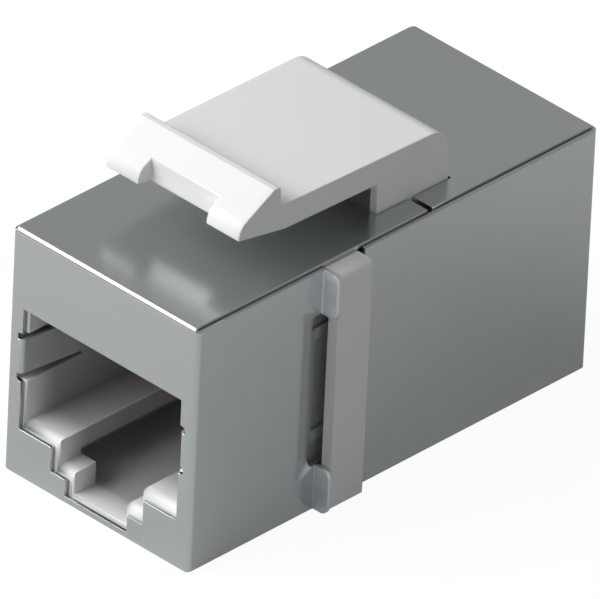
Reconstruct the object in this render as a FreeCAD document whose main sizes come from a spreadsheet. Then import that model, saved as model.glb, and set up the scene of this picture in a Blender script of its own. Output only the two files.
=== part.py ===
"""Shielded keystone coupler: two eight-contact sockets back to back in a folded metal shell.

Millimetres. The origin is the middle of the underside, +X is right, +Y runs from the front
socket to the rear one, and +Z is up, towards the panel latch.
"""
import FreeCAD
import Part
import math
import os
import Sketcher
from types import SimpleNamespace

PLANES = {"XY": "XY_Plane", "XZ": "XZ_Plane", "YZ": "YZ_Plane"}
CONTACTS = 8

# The driving dimensions: name, size and what it measures.
DIMENSIONS = [
    ("shield_width", 14.5, "outside width of the folded shell"),
    ("shield_height", 16.15, "outside height of the folded shell"),
    ("shield_length", 31.6, "front face to rear face"),
    ("sheet_thickness", 0.25, "plated steel sheet"),
    ("fold_inside", 0.08, "inside radius of every fold"),
    ("seam_step", 0.18, "side flaps stop this far below the top face"),
    ("seam_gap", 0.04, "open seam between a top flap and a side flap"),
    ("seam_setback", 18.3, "front shell's top flap, from the front face"),
    ("seam_opening", 0.36, "gap between the two shells on top"),
    ("port_width", 12.35, "socket mouth in the sheet"),
    ("port_top", 11.1, "upper edge of the mouth"),
    ("shoulder_level", 3.2, "lower edge of the mouth's wide part"),
    ("step_width", 7.25, "upper step of the plug-latch notch"),
    ("step_level", 1.62, "lower edge of that step"),
    ("slot_width", 4.85, "lower step of the plug-latch notch"),
    ("slot_level", 0.55, "lower edge of that step"),
    ("spring_level", 7.89, "middle height of the grounding springs"),
    ("spring_height", 2.24, "grounding spring, top to bottom"),
    ("spring_length", 4.3, "grounding spring, from the front face"),
    ("spring_lean", 0.5, "how far its end leans into the socket"),
    ("relief_slot", 0.45, "slots above and below a grounding spring"),
    ("relief_reach", 0.36, "those slots pass the mouth's edge by this"),
    ("relief_round", 0.18, "rounding of those slots' corners"),
    ("relief_wall", 0.2, "moulded wall left beside a grounding spring"),
    ("tab_height", 2.93, "bent tabs ahead of the ribs"),
    ("tab_stand", 1.12, "tabs out of the shell's side"),
    ("tab_gap", 0.1, "tab to the rib behind it"),
    ("tab_corner", 0.55, "radius of their corners"),
    ("tab_relief", 0.35, "gap between a tab and the tongue"),
    ("tongue_inset", 0.45, "the tongue lies this far inside the flap"),
    ("tongue_dip", 1.3, "length over which it dips inside"),
    ("tongue_reach", 1.9, "the tongue runs this far under the rib"),
    ("tongue_shoulder", 0.85, "the tongue narrows by this at each end"),
    ("tongue_neck", 0.33, "it narrows this far ahead of the tabs"),
    ("window_margin", 0.75, "narrow tongue above and below its window"),
    ("window_front", 0.28, "window's front edge, ahead of the rib"),
    ("window_end", 0.6, "tongue behind the window"),
    ("rib_setback", 10.18, "side rib's front face, from the front face"),
    ("rib_width", 2.62, "side rib along the shell"),
    ("rib_stand", 0.97, "side rib out of the shell's side"),
    ("rib_round", 0.4, "rounding of the rib's upper end"),
    ("rib_gap", 0.3, "rib to the rear shell's side flap"),
    ("rib_foot", 0.43, "lower end of the ribs"),
    ("arm_thickness", 0.82, "frame arm that forms a rib"),
    ("plate_thickness", 1.2, "frame plate under the top flaps"),
    ("latch_width", 10.76, "latch across the rear of its foot"),
    ("nose_width", 10.42, "latch across the tip of its nose"),
    ("foot_setback", 15.9, "foot's front face, from the front face"),
    ("foot_length", 5.65, "foot along the shell"),
    ("foot_round", 1.6, "rounding over the foot's rear"),
    ("foot_leg", 0.62, "legs of the foot, beside its hollow"),
    ("foot_back", 1.45, "wall of the foot behind its hollow"),
    ("foot_gap", 0.12, "foot to the edges of the shells"),
    ("lever_clear", 1.88, "lever's root above the shell"),
    ("lever_thickness", 1.65, "latch lever"),
    ("lever_slope", 0.02, "rise of the lever for each millimetre"),
    ("root_gap", 0.05, "parting plane of the bending lever"),
    ("catch_reach", 7.65, "catch face, ahead of the foot"),
    ("catch_height", 1.28, "lip above the lever"),
    ("lip_flat", 0.55, "flat on top of the lip"),
    ("ramp_length", 2.65, "lip to the tip of the nose"),
    ("nose_face", 0.75, "upright face at the tip"),
    ("nose_rise", 0.66, "tip above the lever's underside"),
    ("nose_back", 7.2, "underside starts to rise, ahead of the foot"),
    ("nose_round", 1.1, "rounding below the ramp"),
    ("nose_notch_width", 5.3, "finger notch in the nose"),
    ("nose_notch_depth", 1.02, "depth of that notch"),
    ("edge_round", 0.12, "small rounding of the latch's edges"),
    ("lip_round", 0.24, "rounding at the foot and front of the lip"),
    ("fit_gap", 0.05, "moulded parts to what holds them"),
    ("mouth_inset", 0.22, "moulding stands this far inside the sheet's mouth"),
    ("step_inset", 0.36, "moulding stands this far inside the sheet's steps"),
    ("shoulder_rise", 0.5, "moulded shoulders and treads above the sheet's"),
    ("shoulder_round", 0.6, "rounded front edges of the moulding"),
    ("front_wall", 1.8, "moulded wall that carries the notch"),
    ("ledge_thickness", 1.25, "ledges beside the plug-latch channel"),
    ("channel_width", 10.2, "plug-latch channel below the ledges"),
    ("channel_drop", 0.1, "channel's floor below the notch's"),
    ("floor_thickness", 0.42, "moulded floor of the socket"),
    ("cavity_depth", 11.8, "socket, from the front face"),
    ("carrier_width", 9.6, "contact carrier"),
    ("carrier_setback", 2.25, "contact carrier, from the front face"),
    ("groove_width", 0.5, "contact grooves in the carrier"),
    ("groove_depth", 0.42, "depth of those grooves"),
    ("contact_level", 12.15, "upper run of the contacts"),
    ("contact_pitch", 1.016, "contact to contact"),
    ("contact_width", 0.4, "contact across the row"),
    ("contact_thickness", 0.28, "contact through its bend"),
    ("contact_bend", 0.45, "bend radius at the contact's middle"),
    ("contact_front", 2.75, "front bend of a contact, from the front face"),
    ("contact_drop", 1.15, "height of that bend"),
    ("contact_end", 9.0, "free end of a contact, from the front face"),
    ("contact_end_level", 8.0, "height of the free end"),
    ("tail_stagger", 0.65, "tail rows above and below the upper run"),
    ("tail_bend", 2.2, "bend of the tails, from the board's middle"),
    ("tail_overhang", 0.5, "tails stand through the board by this"),
    ("board_thickness", 1.4, "circuit board"),
    ("board_width", 12.6, "circuit board across the shell"),
    ("board_foot", 1.1, "lower edge of the board"),
    ("board_gap", 0.35, "upper edge of the board below the frame's plate"),
    ("tail_hole", 0.75, "plated holes for the tails"),
]


class Size:
    """A length that carries both its value and the sheet formula that it comes from."""

    def __init__(self, value, formula):
        self.value = value
        self.formula = formula

    def __add__(self, other):
        other = as_size(other)
        return Size(self.value + other.value, f"({self.formula} + {other.formula})")

    def __sub__(self, other):
        other = as_size(other)
        return Size(self.value - other.value, f"({self.formula} - {other.formula})")

    def __mul__(self, other):
        other = as_size(other)
        return Size(self.value * other.value, f"({self.formula} * {other.formula})")

    def __truediv__(self, other):
        other = as_size(other)
        return Size(self.value / other.value, f"({self.formula} / {other.formula})")

    def __neg__(self):
        return Size(-self.value, f"(-1 * {self.formula})")


def as_size(number):
    """A plain number as a Size, and a Size as it is."""
    if isinstance(number, Size):
        return number
    return Size(float(number), repr(float(number)))


def smaller(first, second):
    """The smaller of two sizes, for a rounding that its wall limits."""
    return Size(min(first.value, second.value), f"min({first.formula}; {second.formula})")


def larger(first, second):
    """The larger of two sizes, for a block that either of them may set."""
    return Size(max(first.value, second.value), f"max({first.formula}; {second.formula})")


doc = FreeCAD.newDocument("keystone_coupler")
sheet = doc.addObject("Spreadsheet::Sheet", "Dims")
dims = SimpleNamespace()
for row, (alias, number, meaning) in enumerate(DIMENSIONS, start=1):
    sheet.set(f"A{row}", meaning)
    sheet.set(f"B{row}", str(number))
    sheet.setAlias(f"B{row}", alias)
    setattr(dims, alias, Size(number, f"Dims.{alias}"))
doc.recompute()


# Sketches and features

def new_body(name):
    body = doc.addObject("PartDesign::Body", name)
    body.Label = name
    return body


def new_sketch(body, name, plane, offset):
    """A sketch on one of the body's origin planes, moved along that plane's normal."""
    sketch = body.newObject("Sketcher::SketchObject", name)
    support = [item for item in body.Origin.OriginFeatures if item.Role == PLANES[plane]]
    sketch.AttachmentSupport = [(support[0], "")]
    sketch.MapMode = "FlatFace"
    offset = as_size(offset)
    sketch.AttachmentOffset = FreeCAD.Placement(FreeCAD.Vector(0, 0, offset.value), FreeCAD.Rotation())
    sketch.setExpression("AttachmentOffset.Base.z", offset.formula)
    return sketch


def bind(sketch, kind, *geometry, size):
    """A constraint whose value is bound to the sheet."""
    index = sketch.addConstraint(Sketcher.Constraint(kind, *geometry, size.value))
    sketch.setExpression(f"Constraints[{index}]", size.formula)


def locate(sketch, geometry, end, u, v):
    """Holds one point of the sketch at (u, v) from the sketch's origin."""
    bind(sketch, "DistanceX", -1, 1, geometry, end, size=u)
    bind(sketch, "DistanceY", -1, 1, geometry, end, size=v)


def corner_arc(before, corner, after, radius):
    """The arc that rounds a corner, its two tangent points, and whether it turns left."""
    towards = (before - corner).normalize()
    onwards = (after - corner).normalize()
    half_angle = towards.getAngle(onwards) / 2
    reach = radius / math.tan(half_angle)
    middle = corner + (towards + onwards).normalize() * (radius / math.sin(half_angle))
    entry = corner + towards * reach
    leave = corner + onwards * reach
    turns_left = towards.cross(onwards).z < 0
    first, last = (entry, leave) if turns_left else (leave, entry)
    start = math.atan2(first.y - middle.y, first.x - middle.x)
    end = math.atan2(last.y - middle.y, last.x - middle.x)
    circle = Part.Circle(middle, FreeCAD.Vector(0, 0, 1), radius)
    return Part.ArcOfCircle(circle, start, end), entry, leave, turns_left


def draw(sketch, corners, closed=True):
    """Draws an outline of straight runs. A corner is (u, v), or (u, v, radius) where it is round."""
    corners = [tuple(as_size(item) for item in corner) for corner in corners]
    points = [FreeCAD.Vector(corner[0].value, corner[1].value, 0) for corner in corners]
    count = len(corners)
    arcs = {}
    for index, corner in enumerate(corners):
        if len(corner) == 3:
            neighbours = points[index - 1], points[index], points[(index + 1) % count]
            arcs[index] = corner_arc(*neighbours, corner[2].value)
    lines = []
    for index in range(count if closed else count - 1):
        following = (index + 1) % count
        start = arcs[index][2] if index in arcs else points[index]
        end = arcs[following][1] if following in arcs else points[following]
        lines.append(sketch.addGeometry(Part.LineSegment(start, end), False))
    for index, corner in enumerate(corners):
        before = lines[index - 1]
        after = lines[index] if index < len(lines) else None
        if index in arcs:
            arc = sketch.addGeometry(arcs[index][0], False)
            point = sketch.addGeometry(Part.Point(points[index]), True)
            first, last = (1, 2) if arcs[index][3] else (2, 1)
            sketch.addConstraint(Sketcher.Constraint("Tangent", before, 2, arc, first))
            sketch.addConstraint(Sketcher.Constraint("Tangent", arc, last, after, 1))
            sketch.addConstraint(Sketcher.Constraint("PointOnObject", point, 1, before))
            sketch.addConstraint(Sketcher.Constraint("PointOnObject", point, 1, after))
            bind(sketch, "Radius", arc, size=corner[2])
            locate(sketch, point, 1, corner[0], corner[1])
        elif after is None:
            locate(sketch, before, 2, corner[0], corner[1])
        else:
            if closed or index > 0:
                sketch.addConstraint(Sketcher.Constraint("Coincident", before, 2, after, 1))
            locate(sketch, after, 1, corner[0], corner[1])


def span(plane, low, high):
    """Start and length along the plane's normal, which is -Y for the XZ plane."""
    low, high = as_size(low), as_size(high)
    if low.value > high.value:
        low, high = high, low
    if plane == "XZ":
        low, high = -high, -low
    return low, high


def pad(body, name, plane, outlines, low, high):
    """Fills the outlines between two places along the axis across the plane."""
    low, high = span(plane, low, high)
    sketch = new_sketch(body, f"{name}_outline", plane, low)
    for outline in outlines:
        draw(sketch, outline)
    feature = body.newObject("PartDesign::Pad", name)
    feature.Profile = sketch
    feature.setExpression("Length", (high - low).formula)
    doc.recompute()
    return feature


def cut(body, name, plane, outlines, low, high):
    """Removes the outlines between two places along the axis across the plane."""
    low, high = span(plane, low, high)
    whole = body.Shape.Volume
    sketch = new_sketch(body, f"{name}_outline", plane, high)
    for outline in outlines:
        draw(sketch, outline)
    feature = body.newObject("PartDesign::Pocket", name)
    feature.Profile = sketch
    feature.setExpression("Length", (high - low).formula)
    doc.recompute()
    if body.Shape.Volume >= whole:
        raise RuntimeError(f"{name} removes nothing from {body.Label}")
    return feature


def round_edges(body, name, radius, chosen):
    """Rounds the edges of the body for which chosen(start, end) holds."""
    edges = []
    for number, edge in enumerate(body.Shape.Edges, start=1):
        ends = [vertex.Point for vertex in edge.Vertexes]
        if len(ends) == 2 and edge.Curve.TypeId == "Part::GeomLine" and chosen(*ends):
            edges.append(f"Edge{number}")
    if not edges:
        raise RuntimeError(f"{name} finds no edge on {body.Label}")
    base = body.Tip
    feature = body.newObject("PartDesign::Fillet", name)
    feature.Base = (base, edges)
    feature.setExpression("Radius", radius.formula)
    doc.recompute()
    return feature


def near(value, size):
    """Whether a coordinate lies at a size, to a hundredth of a millimetre."""
    return abs(value - as_size(size).value) < 0.01


def box_outline(low_u, low_v, high_u, high_v):
    return [(low_u, low_v), (high_u, low_v), (high_u, high_v), (low_u, high_v)]


def mirrored(outline):
    """The same outline on the other side of the middle plane."""
    return [(-as_size(corner[0]), *corner[1:]) for corner in reversed(outline)]


def both_sides(outline):
    return [outline, mirrored(outline)]


# Places that several pieces share

half_width = dims.shield_width / 2
half_length = dims.shield_length / 2
top = dims.shield_height
sheet_metal = dims.sheet_thickness
fold_outside = dims.fold_inside + sheet_metal
mouth = dims.port_width / 2
flap_half = half_width - sheet_metal - dims.seam_gap


def from_front(distance):
    """Place along Y at a distance behind the front face."""
    return as_size(distance) - half_length


def from_rear(distance):
    """Place along Y at a distance ahead of the rear face."""
    return half_length - distance


rib_front = from_front(dims.rib_setback)
rib_rear = rib_front + dims.rib_width
foot_front = from_front(dims.foot_setback)
foot_rear = foot_front + dims.foot_length
lever_root = top + dims.lever_clear
lever_top = lever_root + dims.lever_thickness
root = foot_front - dims.root_gap
catch = foot_front - dims.catch_reach
lip_front = catch - dims.lip_flat
tip = lip_front - dims.ramp_length
latch_half = dims.latch_width / 2
nose_half = dims.nose_width / 2
latch_reach = larger(latch_half, nose_half)
latch_block = latch_reach + dims.fit_gap
latch_sides = both_sides([
    (nose_half, tip), (latch_block, tip), (latch_block, foot_rear), (latch_half, foot_rear)])
plate_top = top - sheet_metal - dims.fit_gap
plate_under = plate_top - dims.plate_thickness
tab_face = rib_front - dims.tab_gap - sheet_metal
flap_end = tab_face - dims.tongue_dip
spring_low = dims.spring_level - dims.spring_height / 2
spring_high = dims.spring_level + dims.spring_height / 2
mould_half = half_width - sheet_metal - dims.fit_gap
mould_under = sheet_metal + dims.fit_gap
floor_level = mould_under + dims.floor_thickness
carrier_under = dims.contact_level - dims.contact_thickness / 2 - dims.fit_gap


# Folded shells: each is one sheet, bent back from the wall with the socket's mouth

def shell(name, at, top_length, side_length):
    """One shell. at gives the place along Y of a distance behind its own face."""
    body = new_body(name)
    pad(body, "wall_top_and_bottom", "YZ", [[
        (at(0), 0, fold_outside), (at(top_length), 0),
        (at(top_length), sheet_metal), (at(sheet_metal), sheet_metal, dims.fold_inside),
        (at(sheet_metal), top - sheet_metal, dims.fold_inside), (at(top_length), top - sheet_metal),
        (at(top_length), top), (at(0), top, fold_outside)]], -flap_half, flap_half)
    inside = half_width - sheet_metal
    pad(body, "sides", "XY", [[
        (-half_width, at(0), fold_outside), (half_width, at(0), fold_outside),
        (half_width, at(side_length)), (inside, at(side_length)),
        (inside, at(sheet_metal), dims.fold_inside), (-inside, at(sheet_metal), dims.fold_inside),
        (-inside, at(side_length)), (-half_width, at(side_length))]], dims.seam_step, top - dims.seam_step)

    step, slot = dims.step_width / 2, dims.slot_width / 2
    bite = mouth + dims.relief_reach
    right = [
        (slot, dims.slot_level), (slot, dims.step_level), (step, dims.step_level),
        (step, dims.shoulder_level), (mouth, dims.shoulder_level), (mouth, spring_low - dims.relief_slot),
        (bite, spring_low - dims.relief_slot, dims.relief_round),
        (bite, spring_high + dims.relief_slot, dims.relief_round),
        (mouth, spring_high + dims.relief_slot), (mouth, dims.port_top)]
    cut(body, "mouth", "XZ", [right + mirrored(right)], at(0), at(sheet_metal * 2))

    spring = [
        (bite, at(0)), (bite, at(sheet_metal)), (mouth + sheet_metal, at(sheet_metal), dims.fold_inside),
        (mouth + sheet_metal - dims.spring_lean, at(dims.spring_length)),
        (mouth - dims.spring_lean, at(dims.spring_length)), (mouth, at(0), fold_outside)]
    pad(body, "grounding_springs", "XY", both_sides(spring), spring_low, spring_high)

    opening = latch_reach + dims.foot_gap
    cut(body, "latch_opening", "XY", [box_outline(
        -opening, foot_front - dims.foot_gap, opening, foot_rear + dims.foot_gap)],
        top - sheet_metal * 2, top)
    return body


front_shield = shell("front_shield", from_front, dims.seam_setback, flap_end + half_length)

# The front shell's sides end in two tabs, bent out against the rib, and a tongue that dips under it.
tab_edge = half_width + dims.tab_stand
tab = [
    (half_width, flap_end), (half_width, tab_face, dims.fold_inside), (tab_edge, tab_face),
    (tab_edge, tab_face + sheet_metal), (half_width - sheet_metal, tab_face + sheet_metal, fold_outside),
    (half_width - sheet_metal, flap_end)]
tab_top = dims.seam_step + dims.tab_height
pad(front_shield, "lower_tabs", "XY", both_sides(tab), dims.seam_step, tab_top)
pad(front_shield, "upper_tabs", "XY", both_sides(tab), top - tab_top, top - dims.seam_step)
dip = half_width - dims.tongue_inset
tongue_end = rib_front + dims.tongue_reach
tongue = [
    (half_width, flap_end), (dip, tab_face), (dip, tongue_end), (dip - sheet_metal, tongue_end),
    (dip - sheet_metal, tab_face), (half_width - sheet_metal, flap_end)]
tongue_foot = tab_top + dims.tab_relief
pad(front_shield, "tongues", "XY", both_sides(tongue), tongue_foot, top - tongue_foot)
neck = tab_face - dims.tongue_neck
neck_foot = tongue_foot + dims.tongue_shoulder
cut(front_shield, "tongue_shoulders", "YZ", [
    box_outline(neck, tongue_foot, tongue_end, neck_foot),
    box_outline(neck, top - neck_foot, tongue_end, top - tongue_foot)], -half_width, half_width)
window_foot = neck_foot + dims.window_margin
window = box_outline(
    rib_front - dims.window_front, window_foot, tongue_end - dims.window_end, top - window_foot)
cut(front_shield, "windows", "YZ", [window], -half_width, half_width)
corner = smaller(dims.tab_corner, dims.tab_stand - dims.fold_inside - dims.fit_gap)
corner_reach = corner + dims.fit_gap
waste = sheet_metal


def outside_corner(level, side):
    """What is trimmed off a tab's corner at a height; side is +1 for an upper corner."""
    return [
        (tab_edge - corner_reach, level), (tab_edge, level, corner), (tab_edge, level - corner_reach * side),
        (tab_edge + waste, level - corner_reach * side), (tab_edge + waste, level + waste * side),
        (tab_edge - corner_reach, level + waste * side)]


trims = []
for level, side in ((dims.seam_step, -1), (tab_top, 1), (top - tab_top, -1), (top - dims.seam_step, 1)):
    trims += both_sides(outside_corner(level, side))
cut(front_shield, "tab_corners", "XZ", trims, tab_face, rib_front)

rear_top = dims.shield_length - dims.seam_setback - dims.seam_opening
rear_side = dims.shield_length - dims.rib_setback - dims.rib_width - dims.rib_gap
rear_shield = shell("rear_shield", from_rear, rear_top, rear_side)


# Keystone frame: a plate under the top flaps with two ribbed arms and the latch's foot

def lever_rise(distance):
    """How far the lever has risen at a distance ahead of the foot."""
    return as_size(distance) * dims.lever_slope


frame = new_body("keystone_frame")
arm_outside = half_width + dims.rib_stand
arm_inside = arm_outside - dims.arm_thickness
pad(frame, "plate", "XY", [[
    (-arm_outside, rib_front), (arm_outside, rib_front), (arm_outside, rib_rear), (latch_block, rib_rear),
    (latch_block, foot_rear), (-latch_block, foot_rear), (-latch_block, rib_rear),
    (-arm_outside, rib_rear)]], plate_under, plate_top)
arm = box_outline(arm_inside, rib_front, arm_outside, rib_rear)
pad(frame, "arms", "XY", both_sides(arm), dims.rib_foot, plate_under)
pad(frame, "foot", "YZ", [[
    (foot_front, plate_under), (foot_rear, plate_under),
    (foot_rear, lever_top - lever_rise(dims.foot_length), dims.foot_round), (foot_front, lever_top)]],
    -latch_block, latch_block)
cut(frame, "foot_taper", "XY", latch_sides, plate_top, lever_top)
hollow = latch_half - dims.foot_leg
cut(frame, "foot_hollow", "XY", [box_outline(
    -hollow, foot_front, hollow, foot_rear - dims.foot_back)], plate_under, lever_root)
round_edges(
    frame, "rib_ends", dims.rib_round,
    lambda start, end: near(abs(start.x), arm_outside) and near(start.x, end.x)
    and near(start.z, plate_top) and near(end.z, plate_top))


# Latch lever: moulded in one with the foot, bends at its root, with the catch lip and nose at its tip

lever = new_body("latch_lever")
nose_start = foot_front - dims.nose_back
lip_top = lever_top + lever_rise(dims.catch_reach) + dims.catch_height
tip_under = lever_root + lever_rise(dims.nose_back) + dims.nose_rise
pad(lever, "arm_and_nose", "YZ", [[
    (root, lever_root), (root, lever_top),
    (catch, lever_top + lever_rise(dims.catch_reach), dims.lip_round), (catch, lip_top, dims.edge_round),
    (lip_front, lip_top, dims.lip_round), (tip, tip_under + dims.nose_face, dims.nose_round),
    (tip, tip_under), (nose_start, lever_root + lever_rise(dims.nose_back))]],
    -latch_block, latch_block)
cut(lever, "lever_taper", "XY", latch_sides, lever_root, lip_top)
notch_half = dims.nose_notch_width / 2
cut(lever, "finger_notch", "XY", [box_outline(
    -notch_half, tip - dims.nose_notch_depth, notch_half, tip + dims.nose_notch_depth)],
    lever_root, lip_top)


# Jack housings: white mouldings with the socket's cavity, one facing each way

def jack_housing(name, at, low_from, arm_recess):
    """One housing. Its roof is lowered behind low_from to make room for the frame's plate."""
    body = new_body(name)
    face = sheet_metal + dims.fit_gap
    inner_end = half_length - dims.board_thickness / 2 - dims.fit_gap
    low_roof = plate_under - dims.fit_gap
    pad(body, "block", "YZ", [[
        (at(face), mould_under), (at(inner_end), mould_under), (at(inner_end), low_roof),
        (at(low_from), low_roof), (at(low_from), plate_top), (at(face), plate_top)]],
        -mould_half, mould_half)
    if arm_recess:
        recess = box_outline(
            dip - sheet_metal - dims.fit_gap, flap_end, half_width, rib_rear + dims.fit_gap)
        cut(body, "arm_recesses", "XY", both_sides(recess), 0, top)

    inset = dims.mouth_inset
    wide = mouth - inset
    step = dims.step_width / 2 - dims.step_inset
    slot = dims.slot_width / 2 - dims.step_inset
    shoulder, tread = dims.shoulder_level + dims.shoulder_rise, dims.step_level + dims.shoulder_rise
    ceiling = dims.port_top + inset
    back = at(dims.cavity_depth)
    cut(body, "cavity", "XZ", [box_outline(-wide, shoulder, wide, ceiling)], at(0), back)
    cut(body, "latch_slot", "XZ", [box_outline(-step, tread, step, shoulder)], at(0), back)
    cut(body, "latch_notch", "XZ", [box_outline(-slot, floor_level, slot, tread)], at(0), back)
    channel = dims.channel_width / 2
    cut(body, "latch_channel", "XZ", [box_outline(
        -channel, floor_level - dims.channel_drop, channel, shoulder - dims.ledge_thickness)],
        at(face + dims.front_wall), back)

    pocket = dims.carrier_width / 2 + dims.fit_gap
    cut(body, "carrier_pocket", "XY", [box_outline(
        -pocket, at(dims.carrier_setback - dims.fit_gap), pocket, at(half_length))], ceiling, top)
    relief = mould_half - dims.relief_wall
    cut(body, "spring_reliefs", "XZ", [box_outline(
        -relief, spring_low - dims.relief_slot, relief, spring_high + dims.relief_slot)],
        at(0), at(dims.spring_length + dims.relief_reach))
    face_place = at(face)
    round_edges(
        body, "shoulders", dims.shoulder_round,
        lambda start, end: near(start.y, face_place) and near(end.y, face_place) and near(start.z, end.z)
        and (near(start.z, shoulder) or near(start.z, tread)))
    return body


front_low = dims.rib_setback - dims.fit_gap
rear_low = dims.shield_length - dims.foot_setback - dims.foot_length - dims.fit_gap
front_jack_housing = jack_housing("front_jack_housing", from_front, front_low, True)
rear_jack_housing = jack_housing("rear_jack_housing", from_rear, rear_low, False)


# Contact carriers: grooved blocks that drop into the housings and hold the contacts' upper runs

def contact_place(number, at):
    """Place across the row of one contact, counted from the left as its own socket is faced."""
    across = dims.contact_pitch * (number - (CONTACTS + 1) / 2)
    return across if at is from_front else -across


def contact_carrier(name, at):
    body = new_body(name)
    front = dims.carrier_setback
    back = half_length - dims.tail_bend - dims.tail_stagger - dims.contact_bend
    half = dims.carrier_width / 2
    pad(body, "block", "XY", [box_outline(-half, at(front), half, at(back))],
        carrier_under, plate_under - dims.fit_gap)
    grooves = []
    for number in range(1, CONTACTS + 1):
        middle = contact_place(number, at)
        grooves.append(box_outline(
            middle - dims.groove_width / 2, carrier_under,
            middle + dims.groove_width / 2, carrier_under + dims.groove_depth))
    cut(body, "grooves", "XZ", grooves, at(front), at(back))
    return body


front_contact_carrier = contact_carrier("front_contact_carrier", from_front)
rear_contact_carrier = contact_carrier("rear_contact_carrier", from_rear)


# Contacts: gold-plated spring strips, the upper run in the carrier and the free arm in the socket

def tail_level(number):
    """Odd and even contacts leave in two rows, so the two sockets' tails pass each other."""
    side = 1 if number % 2 else -1
    return dims.contact_level + dims.tail_stagger * side


def contact(name, at, number):
    body = new_body(name)
    level = tail_level(number)
    tail_end = half_length + dims.board_thickness / 2 + dims.tail_overhang
    bend = dims.contact_bend
    spine = new_sketch(body, "spine", "YZ", contact_place(number, at))
    draw(spine, [
        (at(tail_end), level), (at(half_length - dims.tail_bend + dims.tail_stagger), level, bend),
        (at(half_length - dims.tail_bend - dims.tail_stagger), dims.contact_level, bend),
        (at(dims.contact_front), dims.contact_level, bend),
        (at(dims.contact_front), dims.contact_level - dims.contact_drop, bend),
        (at(dims.contact_end), dims.contact_end_level)], closed=False)
    along = at(tail_end)
    section = new_sketch(body, "section", "XZ", -along)
    middle = contact_place(number, at)
    draw(section, box_outline(
        middle - dims.contact_width / 2, level - dims.contact_thickness / 2,
        middle + dims.contact_width / 2, level + dims.contact_thickness / 2))
    strip = body.newObject("PartDesign::AdditivePipe", "strip")
    strip.Profile = section
    strip.Spine = (spine, [])
    doc.recompute()
    return body


contacts = []
for socket, at in (("front", from_front), ("rear", from_rear)):
    for number in range(1, CONTACTS + 1):
        contacts.append(contact(f"{socket}_contact_{number}", at, number))


# Circuit board: stands between the housings and joins the two sockets' tails

circuit_board = new_body("circuit_board")
board_face = dims.board_thickness / 2
pad(circuit_board, "board", "XZ", [box_outline(
    -dims.board_width / 2, dims.board_foot, dims.board_width / 2, plate_under - dims.board_gap)],
    -board_face, board_face)
holes = new_sketch(circuit_board, "tail_holes_outline", "XZ", board_face)
for number in range(1, CONTACTS + 1):
    for level in (tail_level(1), tail_level(2)):
        across = contact_place(number, from_front)
        centre = FreeCAD.Vector(across.value, level.value, 0)
        circle = Part.Circle(centre, FreeCAD.Vector(0, 0, 1), dims.tail_hole.value / 2)
        hole = holes.addGeometry(circle, False)
        bind(holes, "Diameter", hole, size=dims.tail_hole)
        locate(holes, hole, 3, across, level)
board_volume = circuit_board.Shape.Volume
tail_holes = circuit_board.newObject("PartDesign::Pocket", "tail_holes")
tail_holes.Profile = holes
tail_holes.Type = "ThroughAll"
doc.recompute()
if circuit_board.Shape.Volume >= board_volume:
    raise RuntimeError("the tail holes remove nothing from the board")


# Every object has to have come out whole before any file is written

pieces = [
    front_shield, rear_shield, frame, lever, front_jack_housing, rear_jack_housing,
    front_contact_carrier, rear_contact_carrier, circuit_board, *contacts]
for item in doc.Objects:
    if "Invalid" in item.State or "Error" in item.State:
        raise RuntimeError(f"{item.Label} failed: {item.State}")
for piece in pieces:
    if piece.Shape.isNull() or not piece.Shape.isValid() or len(piece.Shape.Solids) != 1:
        raise RuntimeError(f"{piece.Label} is not one valid solid")
os.makedirs("parts", exist_ok=True)
for piece in pieces:
    piece.Shape.exportStep(f"parts/{piece.Label}.step")
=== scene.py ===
"""Looks of a shielded keystone coupler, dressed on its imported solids, piece by piece as it is assembled.

Shapes are worked out in millimetres on the part's own axes, +X right, +Y from the front socket to the
rear one and +Z up, and go into the meshes in metres. Depths are measured from a socket's own face.
"""
import math

import bmesh
import bpy
import numpy as np
from mathutils import Matrix, Vector


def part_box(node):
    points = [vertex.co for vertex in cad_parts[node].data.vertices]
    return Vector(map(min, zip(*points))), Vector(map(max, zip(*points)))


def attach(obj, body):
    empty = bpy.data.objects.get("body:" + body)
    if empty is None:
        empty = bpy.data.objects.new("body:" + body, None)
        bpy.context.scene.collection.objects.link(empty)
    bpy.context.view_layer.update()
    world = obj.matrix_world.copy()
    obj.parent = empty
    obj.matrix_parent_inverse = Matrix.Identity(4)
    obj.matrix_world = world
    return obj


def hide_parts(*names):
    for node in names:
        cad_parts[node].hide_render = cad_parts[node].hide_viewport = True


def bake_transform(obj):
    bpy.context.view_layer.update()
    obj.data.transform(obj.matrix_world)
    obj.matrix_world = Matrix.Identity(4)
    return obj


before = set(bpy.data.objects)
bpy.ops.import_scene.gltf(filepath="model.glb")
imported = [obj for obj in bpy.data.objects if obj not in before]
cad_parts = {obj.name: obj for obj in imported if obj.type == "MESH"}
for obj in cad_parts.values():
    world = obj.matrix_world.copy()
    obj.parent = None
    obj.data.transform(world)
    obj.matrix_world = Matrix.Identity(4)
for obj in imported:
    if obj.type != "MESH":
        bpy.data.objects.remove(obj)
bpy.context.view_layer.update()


# Contacts
# Eight strips of gold-plated spring bronze to a socket, stamped and bent over at the mouth so that the
# free arm slopes back into the socket. Their tails are soldered to the circuit board.

MM = 0.001
TINY = 1e-6
CONTACTS = 8
contact_pitch = 1.016
contact_half_width, contact_half_thickness, contact_edge = 0.2, 0.14, 0.05
contact_level, contact_bend = 12.15, 0.45
contact_front, contact_drop = 2.75, 1.15
contact_end, contact_end_level = 9.0, 8.0
tail_end, tail_bend, tail_foot, tail_stagger = 16.999, 14.25, 12.95, 0.65
half_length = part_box("rear_shield")[1].y / MM


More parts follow.
